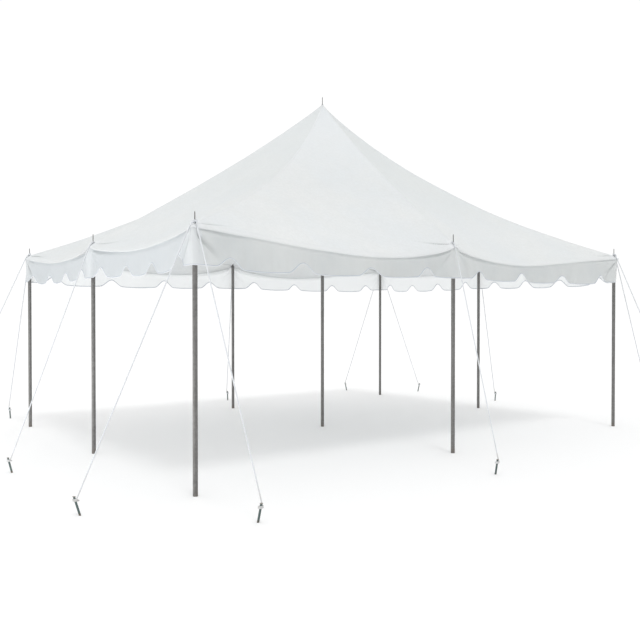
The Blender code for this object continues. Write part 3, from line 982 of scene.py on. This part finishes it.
path = add_node(tree, "GeometryNodeSetSplineResolution", None, {0: path, "Resolution": 4})
path = add_node(
    tree, "GeometryNodeResampleCurve", {"mode": "LENGTH"}, {"Curve": path, "Length": size["Step"]}
)
length = add_node(tree, "GeometryNodeSplineParameter", output="Length")
path = add_node(tree, "GeometryNodeSetCurveTilt", None, {
    "Curve": path, "Tilt": length * (2 * math.pi) / size["Pitch"],
})
ring = add_node(tree, "GeometryNodeCurvePrimitiveCircle", None, {"Resolution": 12, "Radius": 1.0})
spot = own_place(tree)
turn = spot.output("Y").math("ARCTAN2", spot.output("X"))
strand = abs((turn * 1.5).math("COSINE"))
ring = store(tree, ring, "lay", strand)
stretch = size["Radius"] * (0.80 + 0.20 * strand)
ring = add_node(tree, "GeometryNodeSetPosition", None, {
    "Geometry": ring,
    "Position": vector(tree, spot.output("X") * stretch, spot.output("Y") * stretch, 0.0),
})
rope = add_node(tree, "GeometryNodeCurveToMesh", None, {
    "Curve": path, "Profile Curve": ring, "Fill Caps": True,
})
end_tree(tree, rope, rope_fibre)

rope_radius = rope_sizes["Radius"]
GUY_REACH = 0.95  # straight out from the pole line to the foot of the stake
GUY_SLANT = 0.48  # how far a middle pole's guy runs along the side, as a share of its reach
STAKE_LEAN = math.tan(math.radians(17))
STAKE_RADIUS = 0.009
HITCH_HEIGHT = 0.116
HITCH_RISE = 0.010  # from that height to where the rope comes to the stake
HITCH_FALL = 0.0155  # of the turns round the stake
EYE_LIFT = 0.0022  # from the cloth to the rope of an eye, which lies on the eyelet's ring
EYE_RADIUS = 0.0112  # of the rope's middle line round a spike
EYE_MOUTH = 0.6  # radians that the eye's arc leaves open on both sides of its neck
NECK, TAIL = 0.024, 0.033  # from the spike to the neck, and to the end of the short leg
ROPE_GAP = 0.0006  # between two eyes, and between a rope and its stake
EAVE_OUT, EAVE_UP = 0.0085, 0.0045  # from the eave's edge to the rope's middle line


def arc(centre, first, second, radius, start, end, rise=0.0, steps=16):
    """Points round a centre from one angle to another, rising evenly on the way."""
    points = []
    for step in range(steps + 1):
        share = step / steps
        angle = start + (end - start) * share
        points.append(
            centre + (first * math.cos(angle) + second * math.sin(angle)) * radius
            + Vector((0, 0, rise * share))
        )
    return points


def guy_path(plan, outward, level):
    """The rope's middle line, from the tail of its eye to the tail of its hitch."""
    slope = slope_at(plan)
    slanted = 1 / max(abs(outward.x), abs(outward.y))
    out = Vector((*outward, slope.dot(outward)))
    side_way = Vector((-outward.y, outward.x))
    side = Vector((*side_way, slope.dot(side_way)))
    lift = rope_radius + EYE_LIFT + level * (2 * rope_radius + ROPE_GAP)
    eye = on_roof(*plan, lift)
    beside = rope_radius * 1.05
    edge = plan + outward * roof_sizes["Overhang"] * slanted
    over = on_roof(*edge) + Vector((*outward * EAVE_OUT * slanted, EAVE_UP))
    foot = plan + outward * (GUY_REACH * slanted + STAKE_LEAN * HITCH_HEIGHT)
    stake = Vector((*foot, HITCH_HEIGHT))
    stake_out = Vector((*outward, 0))
    stake_side = Vector((*side_way, 0))
    rise = Vector((0, 0, HITCH_RISE))
    wrap = STAKE_RADIUS + rope_radius + ROPE_GAP
    arrives = stake - stake_out * wrap * 0.2 + stake_side * wrap + rise
    down = (arrives - over).normalized()
    points = [eye + out * TAIL - side * beside * 1.1, eye + out * NECK - side * beside]
    points += arc(eye, out, side, EYE_RADIUS, -EYE_MOUTH, -2 * math.pi + EYE_MOUTH)
    points += [eye + out * NECK + side * beside * 0.9]
    points += [over + (eye - over) * 0.12, over + down * 0.02]
    for share in (0.06, 0.2, 0.4, 0.6, 0.8, 0.94):
        points.append(over.lerp(arrives, share))
    points.append(arrives - down * 0.04)
    turns = arc(
        stake + rise, stake_out, stake_side, wrap, math.pi * 0.56, -math.pi * 2.9,
        -HITCH_FALL, 30,
    )
    points += turns
    onward = (turns[-1] - turns[-2]).normalized()
    points.append(turns[-1] + onward * 0.010 + Vector((0, 0, 0.006)))
    points.append(turns[-1] + onward * 0.020 + Vector((0, 0, 0.005)))
    return points


for name, half in POLES.items():
    ways = [Vector(way) for way in ((half[0], 0), (0, half[1])) if any(way)]
    if len(ways) == 1:
        ways = [(ways[0] + ways[0].yx * GUY_SLANT).normalized()]
    for level, outward in enumerate(ways):
        guy = name if len(ways) == 1 else f"{name}_{'end' if outward.x else 'face'}"
        points = guy_path(pole_tops[name], outward, level)
        rope = make_piece(f"rope_{guy}", tree, rope_sizes, line_mesh(f"line_{guy}", [points]))
        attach(rope, "root")
        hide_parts(f"guy_{guy}")
